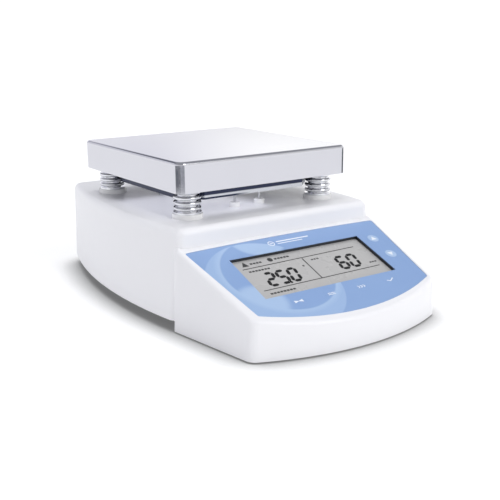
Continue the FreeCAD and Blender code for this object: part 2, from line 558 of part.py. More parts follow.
def electronics():
    """Power board on pillars at the left of the motor, with its larger components."""
    x0, x1, y0, y1 = POWER_BOARD
    z = POWER_BOARD_Z
    top = z + 1.6
    corners = power_board_corners()
    board = box(x0, x1, y0, y1, z, top).cut([rod(1.6, z - 1, z + 3, x, y) for x, y in corners])
    # each pillar is swaged into the floor by its spigot and takes a screw from above
    pillars = [rod(3.0, BASE_TOP_Z, z, x, y).fuse(rod(1.9, BODY_BOTTOM_Z, BASE_TOP_Z, x, y))
               .cut(rod(1.5, z - 8, z + 1, x, y)) for x, y in corners]

    cx, cy = -61.0, 13.0
    core = box(cx - 16, cx + 16, cy - 14, cy + 14, top + 3, top + 29)
    windows = [box(cx + s * 8 - 3, cx + s * 8 + 3, cy - 15, cy + 15, top + 8, top + 24) for s in (-1, 1)]
    coil = box(cx - 10.5, cx + 10.5, cy - 17, cy + 17, top + 8.5, top + 23.5)
    coil = coil.cut(box(cx - 5, cx + 5, cy - 14, cy + 14, top + 3, top + 29))
    saddle = box(cx - 16, cx + 16, cy - 14, cy + 14, top, top + 3)
    sink_x = -38.0
    sink = fuse([box(sink_x, sink_x + 2, 35, 56, top, top + 26)]
                + [box(sink_x - 6, sink_x, 35 + 4.95 * i, 36.2 + 4.95 * i, top, top + 26) for i in range(5)])
    triac = box(sink_x + 2, sink_x + 6, 41, 51, top + 4, top + 18)
    caps = []
    for x, y, r, h in ((-70, 39, 6, 18), (-56, 39, 5, 14), (-70, 52, 4, 11)):
        can = rod(r, top, top + h, x, y)
        caps.append(fillet_where(can, 0.8, lambda e: e.CenterOfMass.z > top + h - 0.1))
    relay = box(-64, -48, -19, -5, top, top + 15)
    blocks = []
    for y in TERMINALS_Y:
        block = box(TERMINAL_X - 8, TERMINAL_X, y - 3.8, y + 3.8, top, top + 10)
        screw_well = rod(1.8, top + 6, top + 12, TERMINAL_X - 4, y)
        entry = box(TERMINAL_X - 1, TERMINAL_X + 1, y - 1.8, y + 1.8, top + 2.2, top + 5.8)
        blocks.append(block.cut([screw_well, entry]))
    return {
        "power_board": board,
        "board_pillars": group(pillars),
        "transformer": group([core.cut(windows), coil.cut(core.cut(windows)), saddle]),
        "heat_sink": sink,
        "triac": triac,
        "capacitors": group(caps),
        "relay": relay,
        "terminal_blocks": group(blocks),
    }


def to_terminal(points, index, r=1.2):
    """Wire that runs beside the motor and turns into one of the terminal blocks."""
    y, z = TERMINALS_Y[index], POWER_BOARD_Z + 5.6
    return wire_tube(points + [(-26.6, y, z), (TERMINAL_X - 1, y, z)], r, 2.6)


def wiring():
    """Harness runs, each one drawn as a round tube along its real route."""
    top = POWER_BOARD_Z + 1.6
    pin_y, tab_y = REAR_PAD_Y - 34, REAR_PAD_Y - 22
    neutral = to_terminal([(INLET_X + 7, pin_y, 42), (INLET_X + 7, 111, 42), (36, 92, 34), (-8, 82, 28),
                           (-26.6, 65, 26)], 3)
    live = wire_tube([(INLET_X - 7, pin_y, 42), (INLET_X - 7, 109, 42), (SWITCH_X, 109, 43),
                      (SWITCH_X, tab_y, 43)], 1.2, 3.6)
    switched = to_terminal([(SWITCH_X, tab_y, 33), (SWITCH_X, 119, 33), (-10, 96, 33), (-26.6, 71, 31),
                            (-26.6, TERMINALS_Y[2], 30.6)], 2)
    earth = wire_tube([(INLET_X, pin_y, 46), (INLET_X, 106, 46), (INLET_X, 93, 38),
                       (INLET_X, 91, 24), (INLET_X, 91, BASE_TOP_Z)], 1.2, 3.0)
    lead = DECK_Z - 9
    heater = [
        to_terminal([(-LEAD_X, lead_y(), lead), (-LEAD_X, lead_y(), 52), (-26.6, TERMINALS_Y[0], 38)], 0),
        to_terminal([(LEAD_X, lead_y(), lead), (LEAD_X, lead_y(), 54), (-8, -10, 50),
                     (-26.6, TERMINALS_Y[1], 40)], 1),
    ]
    sensor = wire_tube([(*SENSOR_XY, DECK_Z - 8), (*SENSOR_XY, 56), (-54, 61, 46), (-60, 61, 36),
                        (-60, 61, top)], 1.0, 2.6)
    probe = wire_tube([(PROBE_X, REAR_PAD_Y - 14, SOCKET_Z), (PROBE_X, 123, SOCKET_Z), (-56, 94, 34),
                       (-66, 61, 32), (-66, 61, top)], 1.0, 2.6)
    return {
        "mains_wires": group([neutral, live, switched, earth]),
        "heater_wires": group(heater),
        "signal_wires": group([sensor, probe]),
        "ribbon_cable": flat_cable([(-71.0, 44.4), (-71.0, 32.0), (-45.0, 27.0), (-23.4, 27.0), (-23.4, top)],
                                   -62.0, -46.0, 0.9),
    }


def flat_cable(path, x0, x1, thickness):
    """Flat ribbon between x0 and x1 that follows a folded path of (y, z) points."""
    sides = []
    for offset in (-thickness / 2, thickness / 2):
        line = []
        for i, (y, z) in enumerate(path):
            before = path[max(i - 1, 0)]
            after = path[min(i + 1, len(path) - 1)]
            normals = []
            for a, b in ((before, (y, z)), ((y, z), after)):
                length = math.hypot(b[0] - a[0], b[1] - a[1])
                if length > 0:
                    normals.append((-(b[1] - a[1]) / length, (b[0] - a[0]) / length))
            ny = sum(n[0] for n in normals) / len(normals)
            nz = sum(n[1] for n in normals) / len(normals)
            scale = offset / (ny * ny + nz * nz)
            line.append((x0, y + ny * scale, z + nz * scale))
        sides.append(line)
    return prism(sides[0] + sides[1][::-1], x1 - x0, X_AXIS)


# ---------------------------------------------------------------- rear fittings
def rear_fittings():
    """Appliance inlet with its pins and fuse drawer, rocker switch and probe jack."""
    y = REAR_PAD_Y
    x, z = INLET_X, SOCKET_Z
    face = y + 2.0
    flange = box(x - 15.5, x + 15.5, y, face, z - 17, z + 17)
    flange = fillet_where(flange, 2.0, lambda e: abs(e.tangentAt(e.FirstParameter).y) > 0.9)
    body = box(x - 13.5, x + 13.5, y - 28, y, z - 14.7, z + 14.7)
    cavity_z0, cavity_z1 = z - 3.5, z + 13.5
    chamfer = 4.0
    cavity = prism([(x - 12.2, y - 16, cavity_z0), (x + 12.2, y - 16, cavity_z0),
                    (x + 12.2, y - 16, cavity_z1 - chamfer), (x + 12.2 - chamfer, y - 16, cavity_z1),
                    (x - 12.2 + chamfer, y - 16, cavity_z1), (x - 12.2, y - 16, cavity_z1 - chamfer)],
                   30.0, Y_AXIS)
    drawer_slot = box(x - 10.2, x + 10.2, y - 25, face + 1, z - 13.2, z - 5.3)
    pin_holes, pins = [], []
    for dx, pz in ((-7.0, z + 4.0), (7.0, z + 4.0), (0.0, z + 8.0)):
        pin_holes.append(box(x + dx - 1, x + dx + 1, y - 29, y - 10, pz - 2, pz + 2))
        blade = box(x + dx - 1, x + dx + 1, y - 34, y - 0.5, pz - 2, pz + 2)
        pins.append(blade)
    inlet = flange.fuse(body).removeSplitter().cut([cavity, drawer_slot] + pin_holes)

    drawer = box(x - 10, x + 10, y - 24, face + 0.6, z - 13, z - 5.5)
    drawer = drawer.cut([box(x - 8.4, x + 8.4, y - 22.4, y - 1, z - 11.3, z - 4),
                         box(x - 4, x + 4, face - 0.4, face + 2, z - 6.6, z - 4)])
    link = rod_y(2.6, y - 21.8, y - 1.8, x, z - 8.6)
    socket = {
        "power_inlet": inlet,
        "inlet_pins": group(pins),
        "fuse_drawer": drawer,
        "fuse_link": link,
    }
    socket.update(rocker_switch())
    socket.update(probe_jack())
    return socket


def rocker_switch():
    y, x, z = REAR_PAD_Y, SWITCH_X, SOCKET_Z
    flange = box(x - 7.6, x + 7.6, y, y + 1.6, z - 10.8, z + 10.8)
    flange = fillet_where(flange, 1.2, lambda e: abs(e.tangentAt(e.FirstParameter).y) > 0.9)
    body = box(x - 6.3, x + 6.3, y - 16, y, z - 9.4, z + 9.4)
    tabs = [box(x - 0.4, x + 0.4, y - 22, y - 16, z + dz - 2.4, z + dz + 2.4) for dz in (-5.0, 5.0)]
    well = box(x - 5.2, x + 5.2, y - 10, y + 5, z - 8.6, z + 8.6)
    frame = flange.fuse([body] + tabs).removeSplitter().cut(well)
    pivot = V(x, y - 2.5, z)
    pin = Part.makeCylinder(1.0, 12.4, V(x - 6.2, pivot.y, pivot.z), X_AXIS)
    frame = frame.cut(pin)
    # the rocker is trimmed to a cylinder about its pivot, so that it clears the well as it tilts
    profile = [(-9.5, 3.9), (0.0, 2.9), (9.5, 3.9), (9.5, -1.0), (3.0, -5.0), (-3.0, -5.0), (-9.5, -1.0)]
    rocker = prism([(x - 5.0, y + d, z + w) for w, d in profile], 10.0, X_AXIS)
    rocker = rocker.common(Part.makeCylinder(8.3, 10.0, V(x - 5.0, pivot.y, pivot.z), X_AXIS))
    axle = Part.makeCylinder(0.95, 12.2, V(x - 6.1, pivot.y, pivot.z), X_AXIS)
    rocker = rocker.fuse(axle).removeSplitter()
    rocker.rotate(pivot, X_AXIS, -ROCKER_TILT)
    return {"switch_frame": frame, "rocker": rocker}


def probe_jack():
    y, x, z = REAR_PAD_Y, PROBE_X, SOCKET_Z
    sleeve = rod_y(4.0, y - 14, y + 3.0, x, z)
    nut = [(x + 6.2 * math.cos(math.radians(60 * i)), y, z + 6.2 * math.sin(math.radians(60 * i)))
           for i in range(6)]
    collar = prism(nut, 2.0, Y_AXIS)
    bore = rod_y(1.8, y - 12, y + 5.0, x, z)
    return {
        "probe_jack": sleeve.cut(bore),
        "probe_jack_nut": collar.cut(rod_y(4.0, y - 1, y + 4, x, z)),
    }


# ---------------------------------------------------------------- write the parts
def build():
    parts = {}
    for make in (housing, base, plate_stack, drive, panel_parts, electronics, wiring, rear_fittings):
        parts.update(make())
    return parts


def main():
    os.makedirs("parts", exist_ok=True)
    parts = build()
    for name, shape in parts.items():
        solids = shape.Solids
        if not solids or not shape.isValid():
            print("CHECK", name, "valid", shape.isValid(), "solids", len(solids))
        shape.exportStep(os.path.join("parts", name + ".step"))
    print(len(parts), "nodes,", sum(len(s.Solids) for s in parts.values()), "solids")


main()
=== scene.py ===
"""Looks of the magnetic stirrer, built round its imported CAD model. Metres, in the CAD's own frame."""

import bpy
import bmesh
import json
import math
from mathutils import Matrix, Vector

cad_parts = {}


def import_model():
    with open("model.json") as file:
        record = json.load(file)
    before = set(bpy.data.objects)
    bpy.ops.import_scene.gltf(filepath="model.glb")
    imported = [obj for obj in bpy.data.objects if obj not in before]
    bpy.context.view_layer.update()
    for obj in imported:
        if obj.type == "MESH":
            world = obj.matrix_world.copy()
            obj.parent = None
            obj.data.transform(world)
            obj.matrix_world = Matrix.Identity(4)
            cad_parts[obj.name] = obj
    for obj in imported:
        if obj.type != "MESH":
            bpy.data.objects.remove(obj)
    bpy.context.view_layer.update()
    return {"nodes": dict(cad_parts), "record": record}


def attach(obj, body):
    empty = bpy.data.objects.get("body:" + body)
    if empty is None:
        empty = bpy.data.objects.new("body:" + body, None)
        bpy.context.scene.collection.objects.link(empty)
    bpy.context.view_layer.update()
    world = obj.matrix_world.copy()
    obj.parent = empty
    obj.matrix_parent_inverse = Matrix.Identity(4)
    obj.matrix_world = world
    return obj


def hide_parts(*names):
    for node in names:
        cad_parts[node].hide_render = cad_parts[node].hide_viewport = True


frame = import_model()
nodes = frame["nodes"]

# ---------------------------------------------------------------- sizes
MM = 0.001
SLOPE = math.radians(21.2)                               # of the control panel
PANEL_TOP = Vector((0, -0.0605, 0.059))                  # middle of the panel's upper edge
U_AXIS = Vector((1, 0, 0))                               # across the panel
V_AXIS = Vector((0, math.cos(SLOPE), math.sin(SLOPE)))   # up the slope
N_AXIS = Vector((0, -math.sin(SLOPE), math.cos(SLOPE)))  # out of the panel

# on the panel, in millimetres
OVERLAY_TOP = -0.3      # height over the panel's surface
DISPLAY_FACE = -3.2
INK = 0.04              # thickness of printed marks
KEY_R = 5.5             # the keys' radius, and their centres across and up the panel
KEYS = {"key_up": (69.0, -27.0), "key_down": (69.0, -48.0), "key_timer": (-38.0, -75.0),
        "key_heat": (-10.0, -75.0), "key_speed": (17.0, -75.0), "key_set": (44.5, -75.0)}

PLATE = 0.153           # side of the square top plate
PLATE_Y = 0.032         # its centre
PLATE_FRONT = PLATE_Y - PLATE / 2
TRAY = 0.120            # side of the heat shield tray
TRAY_Z = 0.0835         # its underside


def on_panel(u, v, n=0.0):
    """Point on the panel from millimetres across, up the slope and out of the surface."""
    return PANEL_TOP + (U_AXIS * u + V_AXIS * v + N_AXIS * n) * MM


def linear(r, g, b):
    """Linear colour from 0 to 255 display values."""
    def one(c):
        c /= 255
        return c / 12.92 if c <= 0.04045 else ((c + 0.055) / 1.055) ** 2.4
    return (one(r), one(g), one(b), 1.0)


def darker(colour, amount):
    return tuple(c * (1 - amount) for c in colour[:3]) + (1.0,)


# ---------------------------------------------------------------- node trees
class Tree:
    """Node tree with short calls for the nodes used here."""

    def __init__(self, tree):
        self.tree = tree
        self.tree.nodes.clear()

    def add(self, kind, **values):
        node = self.tree.nodes.new(kind)
        for key, value in values.items():
            setattr(node, key, value)
        return node

    def link(self, a, b):
        self.tree.links.new(a, b)

    def put(self, value, socket):
        """Sets a socket to a constant or joins it to another node's output."""
        if isinstance(value, (int, float, tuple)):
            socket.default_value = value
        else:
            self.link(value, socket)

    def calc(self, op, a, b=0.0):
        node = self.add("ShaderNodeMath", operation=op)
        self.put(a, node.inputs[0])
        self.put(b, node.inputs[1])
        return node.outputs[0]

    def remap(self, value, a, b, c=0.0, d=1.0, smooth=False):
        """Takes the range a..b to c..d and holds it at both ends."""
        node = self.add("ShaderNodeMapRange", clamp=True)
        if smooth:
            node.interpolation_type = "SMOOTHSTEP"
        for socket, x in zip(node.inputs, (value, a, b, c, d)):
            self.put(x, socket)
        return node.outputs[0]

    def mix(self, fac, a, b):
        node = self.add("ShaderNodeMix", data_type="RGBA")
        self.put(fac, node.inputs[0])
        self.put(a, node.inputs[6])
        self.put(b, node.inputs[7])
        return node.outputs[2]


class Material(Tree):
    """Principled material with short calls for its procedural parts."""

    def __init__(self, name, colour, roughness, metallic=0.0, **sockets):
        self.mat = bpy.data.materials.new(name)
        self.mat.use_nodes = True
        super().__init__(self.mat.node_tree)
        self.bsdf = self.add("ShaderNodeBsdfPrincipled")
        self.link(self.bsdf.outputs[0], self.add("ShaderNodeOutputMaterial").inputs[0])
        self.bsdf.inputs["Base Color"].default_value = colour
        self.bsdf.inputs["Roughness"].default_value = roughness
        self.bsdf.inputs["Metallic"].default_value = metallic
        for key, value in sockets.items():
            self.bsdf.inputs[key.replace("_", " ")].default_value = value
        self.coords = self.add("ShaderNodeTexCoord").outputs["Object"]

    def stretch(self, scale):
        """Object coordinates scaled by a vector."""
        node = self.add("ShaderNodeMapping")
        node.inputs["Scale"].default_value = scale
        self.link(self.coords, node.inputs[0])
        return node.outputs[0]

    def noise(self, scale, detail=2.0, vector=None):
        node = self.add("ShaderNodeTexNoise")
        node.inputs["Scale"].default_value = scale
        node.inputs["Detail"].default_value = detail
        node.inputs["Roughness"].default_value = 0.5
        self.link(vector or self.coords, node.inputs["Vector"])
        return node.outputs["Fac"]

    def distance(self, u, v):
        """Distance of the shaded point from a point of the panel, in millimetres."""
        node = self.add("ShaderNodeVectorMath", operation="DISTANCE")
        self.link(self.coords, node.inputs[0])
        node.inputs[1].default_value = on_panel(u, v)
        return self.calc("MULTIPLY", node.outputs["Value"], 1000.0)

    def spot(self, u, v, near, far, inside=1.0):
        """Round mask on the panel: one value within near millimetres, its opposite past far."""
        return self.remap(self.distance(u, v), near, far, inside, 1.0 - inside, smooth=True)

    def colour(self, socket):
        self.link(socket, self.bsdf.inputs["Base Color"])
        return self

    def vary(self, amount, scale, detail=3.0):
        """Mottles the base colour a little darker in patches."""
        base = tuple(self.bsdf.inputs["Base Color"].default_value)
        return self.colour(self.mix(self.noise(scale, detail), darker(base, amount), base))

    def rough(self, low, high, scale):
        value = self.remap(self.noise(scale, 3.0), 0.3, 0.7, low, high)
        self.link(value, self.bsdf.inputs["Roughness"])
        return self

    def bump(self, value, distance):
        node = self.add("ShaderNodeBump")
        node.inputs["Strength"].default_value = 1.0
        node.inputs["Distance"].default_value = distance
        self.link(value, node.inputs["Height"])
        self.link(node.outputs[0], self.bsdf.inputs["Normal"])
        return self


# ---------------------------------------------------------------- materials
def brushed(name, rgb, roughness, along, depth=2e-6, spread=0.08, mottle=0.08):
    """Metal with fine lines; along holds the lines' frequency on each axis."""
    colour = linear(*rgb)
    m = Material(name, colour, roughness, 1.0)
    lines = m.noise(1.0, 3.0, m.stretch(along))
    low, high = max(roughness - spread, 0.02), roughness + spread
    m.link(m.remap(lines, 0.25, 0.75, low, high), m.bsdf.inputs["Roughness"])
    m.colour(m.mix(m.noise(35, 4.0), darker(colour, mottle), colour))
    return m.bump(lines, depth)


def moulded(name, rgb, roughness, grain=2600, depth=4e-6, mottle=0.03, scale=60):
    """Plastic, rubber or ceramic with a fine grain."""
    m = Material(name, linear(*rgb), roughness)
    m.vary(mottle, scale)
    m.rough(max(roughness - 0.05, 0.02), roughness + 0.06, 140)
    return m.bump(m.noise(grain), depth)


def overlay_material(name):
    """Printed film: blue, with one pale ring that is widest at the lower left and runs under the keys."""
    deep, mid = linear(132, 161, 208), linear(141, 170, 213)
    pale, light = linear(155, 182, 220), linear(170, 195, 227)
    ring_hole = (-33.0, -43.5)
    m = Material(name, mid, 0.34, Specular_IOR_Level=0.4)
    hole = m.spot(*ring_hole, 39.6, 41.6)
    hole = m.calc("MULTIPLY", hole, m.spot(-63.0, -69.0, 14.0, 21.0, inside=0.0))
    hole = m.calc("MULTIPLY", hole, m.spot(-25.0, -1.0, 20.0, 24.0, inside=0.0))
    ring = m.calc("MULTIPLY", m.spot(-41.8, -53.9, 47.8, 49.0), m.calc("SUBTRACT", 1.0, hole))
    # the ring is a little lighter along its inner edge
    edge = m.calc("MULTIPLY", ring, m.remap(m.distance(*ring_hole), 41.0, 45.5, 0.8, 0.0))
    ground = m.mix(m.noise(22), deep, mid)
    m.colour(m.mix(edge, m.mix(ring, ground, pale), light))
    m.rough(0.30, 0.40, 90)
    return m.bump(m.noise(3200), 3e-6)


def shield_material(name):
    """Steel tray, polished, with painted shade, almost black, along its rim, its left side and the left part
    of its lower edge.
    """
    m = brushed(name, (196, 198, 204), 0.22, along=(20, 420, 420))
    split = m.add("ShaderNodeSeparateXYZ")
    m.link(m.coords, split.inputs[0])
    x, _, z = split.outputs
    wavy = m.calc("ADD", z, m.calc("MULTIPLY", m.noise(60), 0.0004))
    # painted shade: each band fades in between two heights or two places across
    shadow_under_skirt = m.remap(wavy, TRAY_Z + 2.9 * MM, TRAY_Z + 3.5 * MM)
    edge = m.calc("MULTIPLY", m.remap(wavy, TRAY_Z + 1.8 * MM, TRAY_Z + 1.4 * MM),
                  m.remap(x, -18 * MM, -4 * MM, 1.0, 0.0))
    side = m.remap(x, 0.2 * MM - TRAY / 2, 1.0 * MM - TRAY / 2, 1.0, 0.0)
    painted_shade = m.calc("MAXIMUM", side, m.calc("MAXIMUM", shadow_under_skirt, edge))
    base = m.bsdf.inputs["Base Color"].links[0].from_socket
    # near-black colour of the painted shade
    return m.colour(m.mix(painted_shade, base, linear(52, 56, 74)))


def display_material(name):
    """Reflective liquid-crystal cell: warm grey with a faint cloudiness under a satin polariser."""
    m = Material(name, linear(186, 185, 184), 0.3)
    m.vary(0.02, 26, 2.0)
    m.rough(0.26, 0.30, 60)
    return m.bump(m.noise(5000, 1.0), 1e-6)


def glass_material(name):
    return Material(name, linear(225, 230, 232), 0.05, Alpha=0.4).rough(0.03, 0.08, 60)


# display values, roughness and the lines' frequencies, then what differs from the usual brushed metal
METALS = {
    "zinc_sheet": ((196, 198, 202), 0.42, (40, 500, 500), {}),
    "steel_screws": ((205, 206, 208), 0.26, (300, 300, 300), {}),
    "stainless_plate": ((208, 208, 214), 0.10, (14, 520, 520), dict(depth=1e-6, spread=0.035, mottle=0.04)),
    "cast_aluminium": ((176, 177, 180), 0.5, (240, 240, 240), dict(depth=2e-5)),
    "element_sheath": ((120, 104, 92), 0.45, (90, 90, 90), {}),
    "plated_standoffs": ((228, 229, 233), 0.12, (60, 60, 1600), dict(depth=1e-6, spread=0.04)),
    "lead_rods": ((206, 207, 210), 0.22, (800, 800, 20), {}),
    "motor_steel": ((170, 172, 176), 0.34, (30, 30, 500), {}),
    "bearing_bronze": ((178, 140, 90), 0.38, (300, 300, 300), {}),
    "copper_winding": ((184, 104, 64), 0.3, (60, 60, 3000), dict(depth=6e-5)),
    "shaft_steel": ((206, 207, 210), 0.18, (50, 50, 900), {}),
    "carrier_aluminium": ((192, 194, 198), 0.32, (60, 60, 400), {}),
    "magnet_nickel": ((208, 206, 200), 0.16, (200, 200, 200), {}),
    "pillar_brass": ((206, 178, 104), 0.28, (60, 60, 700), {}),
    "pin_brass": ((214, 198, 150), 0.24, (200, 30, 200), {}),
    "jack_nut": ((206, 207, 211), 0.22, (30, 600, 30), {}),
}

# display values and roughness, then what differs from the usual moulded material
PLASTICS = {
    "housing_white": ((238, 238, 241), 0.36, dict(grain=1500, depth=6e-6, mottle=0.015, scale=14)),
    "black_rubber": ((38, 38, 40), 0.75, dict(grain=1800, depth=2e-5, mottle=0.2)),
    "white_ceramic": ((240, 240, 240), 0.2, dict(grain=800)),
    "insulation": ((222, 216, 202), 0.95, dict(grain=1400, depth=2e-4, mottle=0.12)),
    "black_plastic": ((32, 36, 44), 0.45, dict(depth=1.2e-5, mottle=0.15)),
    "circuit_board": ((30, 104, 58), 0.3, dict(grain=700, depth=2e-5, mottle=0.25, scale=300)),
    "transformer_core": ((86, 82, 78), 0.5, dict(grain=900, depth=4e-5)),
    "capacitor_sleeve": ((44, 52, 86), 0.3, {}),
    "relay_case": ((46, 84, 160), 0.35, {}),
    "terminal_green": ((40, 140, 76), 0.4, {}),
    "wire_sleeve": ((168, 50, 40), 0.45, dict(grain=500, depth=2e-5)),
    "ribbon_grey": ((178, 180, 184), 0.5, {}),
    "rocker_plastic": ((26, 27, 30), 0.28, dict(grain=1400, depth=5e-6)),
    "print_white": ((232, 238, 248), 0.4, {}),
    "print_pale": ((172, 196, 228), 0.4, {}),
    "segment_black": ((8, 8, 9), 0.5, {}),
    "segment_grey": ((66, 66, 66), 0.5, {}),
}

SPECIAL = {"overlay_print": overlay_material, "key_print": overlay_material, "display_face": display_material,
           "shield_steel": shield_material, "fuse_glass": glass_material}


def build_materials():
    """Every material by name; the names of the CAD nodes' slots are among them."""
    made = {}
    for name, (rgb, roughness, along, more) in METALS.items():
        made[name] = brushed(name, rgb, roughness, along, **more).mat
    for name, (rgb, roughness, more) in PLASTICS.items():
        made[name] = moulded(name, rgb, roughness, **more).mat
    for name, make in SPECIAL.items():
        made[name] = make(name).mat
    return made


mats = build_materials()


def paint_nodes():
    """Gives every CAD node the material that its slot in the record names."""
    for part in frame["record"]["subparts"]:
        obj = nodes[part["node"]]
        material = mats[part["material_slot"]]
        if obj.material_slots:
            for slot in obj.material_slots:
                slot.material = material
        else:
            obj.data.materials.append(material)


paint_nodes()


# ---------------------------------------------------------------- geometry helpers
def add_object(name, data):
    obj = bpy.data.objects.new(name, data)
    bpy.context.scene.collection.objects.link(obj)
    return obj


def new_object(name, bm, material):
    """Object from a bmesh, which it uses up."""
    mesh = bpy.data.meshes.new(name)
    bmesh.ops.recalc_face_normals(bm, faces=bm.faces)
    bm.to_mesh(mesh)
    bm.free()
    mesh.materials.append(mats[material])
    return add_object(name, mesh)


def inlay(bm, outline, n, thickness=INK):
    """Thin closed plate on the panel from a (u, v) outline in millimetres."""
    low = [bm.verts.new(on_panel(u, v, n)) for u, v in outline]
    high = [bm.verts.new(on_panel(u, v, n + thickness)) for u, v in outline]
    bm.faces.new(high)
    bm.faces.new(list(reversed(low)))
    for i in range(len(outline)):
        j = (i + 1) % len(outline)
        bm.faces.new((low[i], low[j], high[j], high[i]))


def bar(u0, v0, u1, v1, w):
    """Outline of a straight bar between two points, w wide."""
    d = Vector((u1 - u0, v1 - v0)).normalized() * (w / 2)
    return [(u0 + d.y, v0 - d.x), (u1 + d.y, v1 - d.x), (u1 - d.y, v1 + d.x), (u0 - d.y, v0 + d.x)]


def circle_point(u, v, r, i, count):
    angle = 2 * math.pi * i / count
    return (u + r * math.cos(angle), v + r * math.sin(angle))


def disc(u, v, r, count):
    return [circle_point(u, v, r, i, count) for i in range(count)]


def zigzag(bm, points, width, n):
    for start, end in zip(points, points[1:]):
        inlay(bm, bar(*start, *end, width), n)


# ---------------------------------------------------------------- display contents
SEGMENTS = {"0": "abcdef", "2": "abged", "5": "afgcd", "6": "afgedc"}
SEGMENT_WIDTH = 2.6
LEAN = 0.16             # sideways per millimetre of height


def digit(bm, char, u, v, w, h, n):
    """Leaning seven-segment digit, w by h between its segments' centre lines, from its lower left corner."""
    half, k, gap = h / 2, SEGMENT_WIDTH / 2, 0.1 * SEGMENT_WIDTH
    runs = {"a": (0, h, w, h), "g": (0, half, w, half), "d": (0, 0, w, 0),
            "f": (0, half, 0, h), "b": (w, half, w, h), "e": (0, 0, 0, half), "c": (w, 0, w, half)}
    for name in SEGMENTS[char]:
        x0, y0, x1, y1 = runs[name]
        dx, dy = (1, 0) if y0 == y1 else (0, 1)
        x0, y0, x1, y1 = x0 + dx * gap, y0 + dy * gap, x1 - dx * gap, y1 - dy * gap
        px, py = -dy * k, dx * k
        outline = [(x0, y0), (x0 + dx * k + px, y0 + dy * k + py), (x1 - dx * k + px, y1 - dy * k + py),
                   (x1, y1), (x1 - dx * k - px, y1 - dy * k - py), (x0 + dx * k - px, y0 + dy * k - py)]
        inlay(bm, [(u + x + LEAN * y, v + y) for x, y in outline], n)


def number(bm, text, u, v, pitch, w, h, n):
    for i, char in enumerate(text):
        digit(bm, char, u + pitch * i, v, w, h, n)


# thin lines that divide the display, from end to end and their width
RULES = [(-53.0, -30.0, 48.5, -28.6, 0.75), (-52.0, -55.2, 53.0, -54.4, 0.75),
         (-1.6, -30.0, -1.6, -54.8, 0.9)]

# rows of short bars that stand for small print: place, number of bars, pitch, length, width
SMALL_PRINT = [(-44.0, -25.4, 4, 2.6, 2.0, 1.7), (-22.8, -24.9, 5, 2.7, 2.1, 1.7),
               (-50.0, -33.6, 7, 2.6, 2.0, 1.5), (4.2, -33.6, 3, 2.5, 1.8, 1.3),
               (47.4, -49.4, 3, 2.4, 1.8, 1.3), (-49.4, -59.4, 8, 2.7, 2.1, 1.6)]


def display_contents():
    n = DISPLAY_FACE + 0.01
    bm = bmesh.new()
    number(bm, "250", -43.2, -51.8, 9.7, 6.4, 13.4, n)
    inlay(bm, disc(-26.8, -52.2, 1.2, 12), n)
    number(bm, "60", 21.6, -50.2, 10.2, 6.8, 13.6, n)
    digits = new_object("display_digits", bm, "segment_black")
    bm = bmesh.new()
    for rule in RULES:
        inlay(bm, bar(*rule), n)
    lines = new_object("display_lines", bm, "segment_grey")
    bm = bmesh.new()
    inlay(bm, [(-51.2, -27.4), (-45.6, -27.4), (-48.4, -22.2)], n)
    inlay(bm, disc(-26.4, -24.8, 2.2, 16), n)
    for u, v, count, pitch, length, width in SMALL_PRINT:
        for i in range(count):
            inlay(bm, bar(u + pitch * i, v, u + pitch * i + length, v, width), n)
    inlay(bm, disc(-6.2, -38.3, 0.9, 12), n)
    marks = new_object("display_marks", bm, "segment_grey")
    for obj in (digits, lines, marks):
        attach(obj, "chassis")


# ---------------------------------------------------------------- the printed film
def film():
    """The overlay as one film that closes up to the embossed keys."""
    near_key, hole_edge = (KEY_R + 0.8) * MM, (KEY_R + 0.03) * MM
    mesh = nodes["panel_overlay"].data.copy()
    mesh.name = "panel_film"
    for vertex in mesh.vertices:
        for u, v in KEYS.values():
            centre = on_panel(u, v)
            offset = vertex.co - centre
            along = N_AXIS * offset.dot(N_AXIS)
            radial = offset - along
            if radial.length < near_key:
                vertex.co = centre + along + radial.normalized() * hole_edge
    obj = add_object("panel_film", mesh)
    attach(obj, "chassis")
    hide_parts("panel_overlay")


def emblem():
    """Plain mark behind the display: a stirring bar in a ring, and two rules."""
    n = OVERLAY_TOP + 0.005
    u, v, inner, outer, count = -16.5, -11.0, 2.1, 2.8, 28
    bm = bmesh.new()
    for i in range(count):
        corners = ((inner, i), (outer, i), (outer, i + 1), (inner, i + 1))
        inlay(bm, [circle_point(u, v, r, step, count) for r, step in corners], n)
    inlay(bm, bar(u - 1.3, v, u + 1.3, v, 0.9), n)
    inlay(bm, bar(-11.5, -9.8, 18.0, -9.8, 1.2), n)
    inlay(bm, bar(-11.5, -12.3, 11.0, -12.3, 0.8), n)
    mark = new_object("panel_emblem", bm, "print_white")
    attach(mark, "chassis")


def key_symbol(bm, name, u, v):
    """Plain symbol of one key round its centre."""
    n = OVERLAY_TOP + 0.01
    if name == "key_up":
        inlay(bm, [(u - 2.5, v - 1.7), (u + 2.5, v - 1.7), (u, v + 2.4)], n + 0.02)
    elif name == "key_down":
        inlay(bm, [(u - 2.5, v + 1.7), (u, v - 2.4), (u + 2.5, v + 1.7)], n + 0.02)
    elif name == "key_timer":
        for side in (-1, 1):
            inlay(bm, [(u + 3.4 * side, v + 1.3 * side), (u, v + 0.15 * side), (u, v - 0.15 * side),
                       (u + 3.4 * side, v - 1.3 * side)], n)
    elif name == "key_heat":
        for dv in (-1.1, 0.3):
            zigzag(bm, [(u - 3.0 + 1.5 * i, v + dv + 0.5 * (i % 2)) for i in range(5)], 0.6, n)
    elif name == "key_speed":
        for du in (-3.0, -0.6, 1.8):
            zigzag(bm, [(u + du, v + 1.2), (u + du + 1.4, v), (u + du, v - 1.2)], 0.7, n)
    else:
        zigzag(bm, [(u - 3.2, v), (u - 0.8, v - 1.3), (u + 3.2, v + 1.3)], 0.8, n)


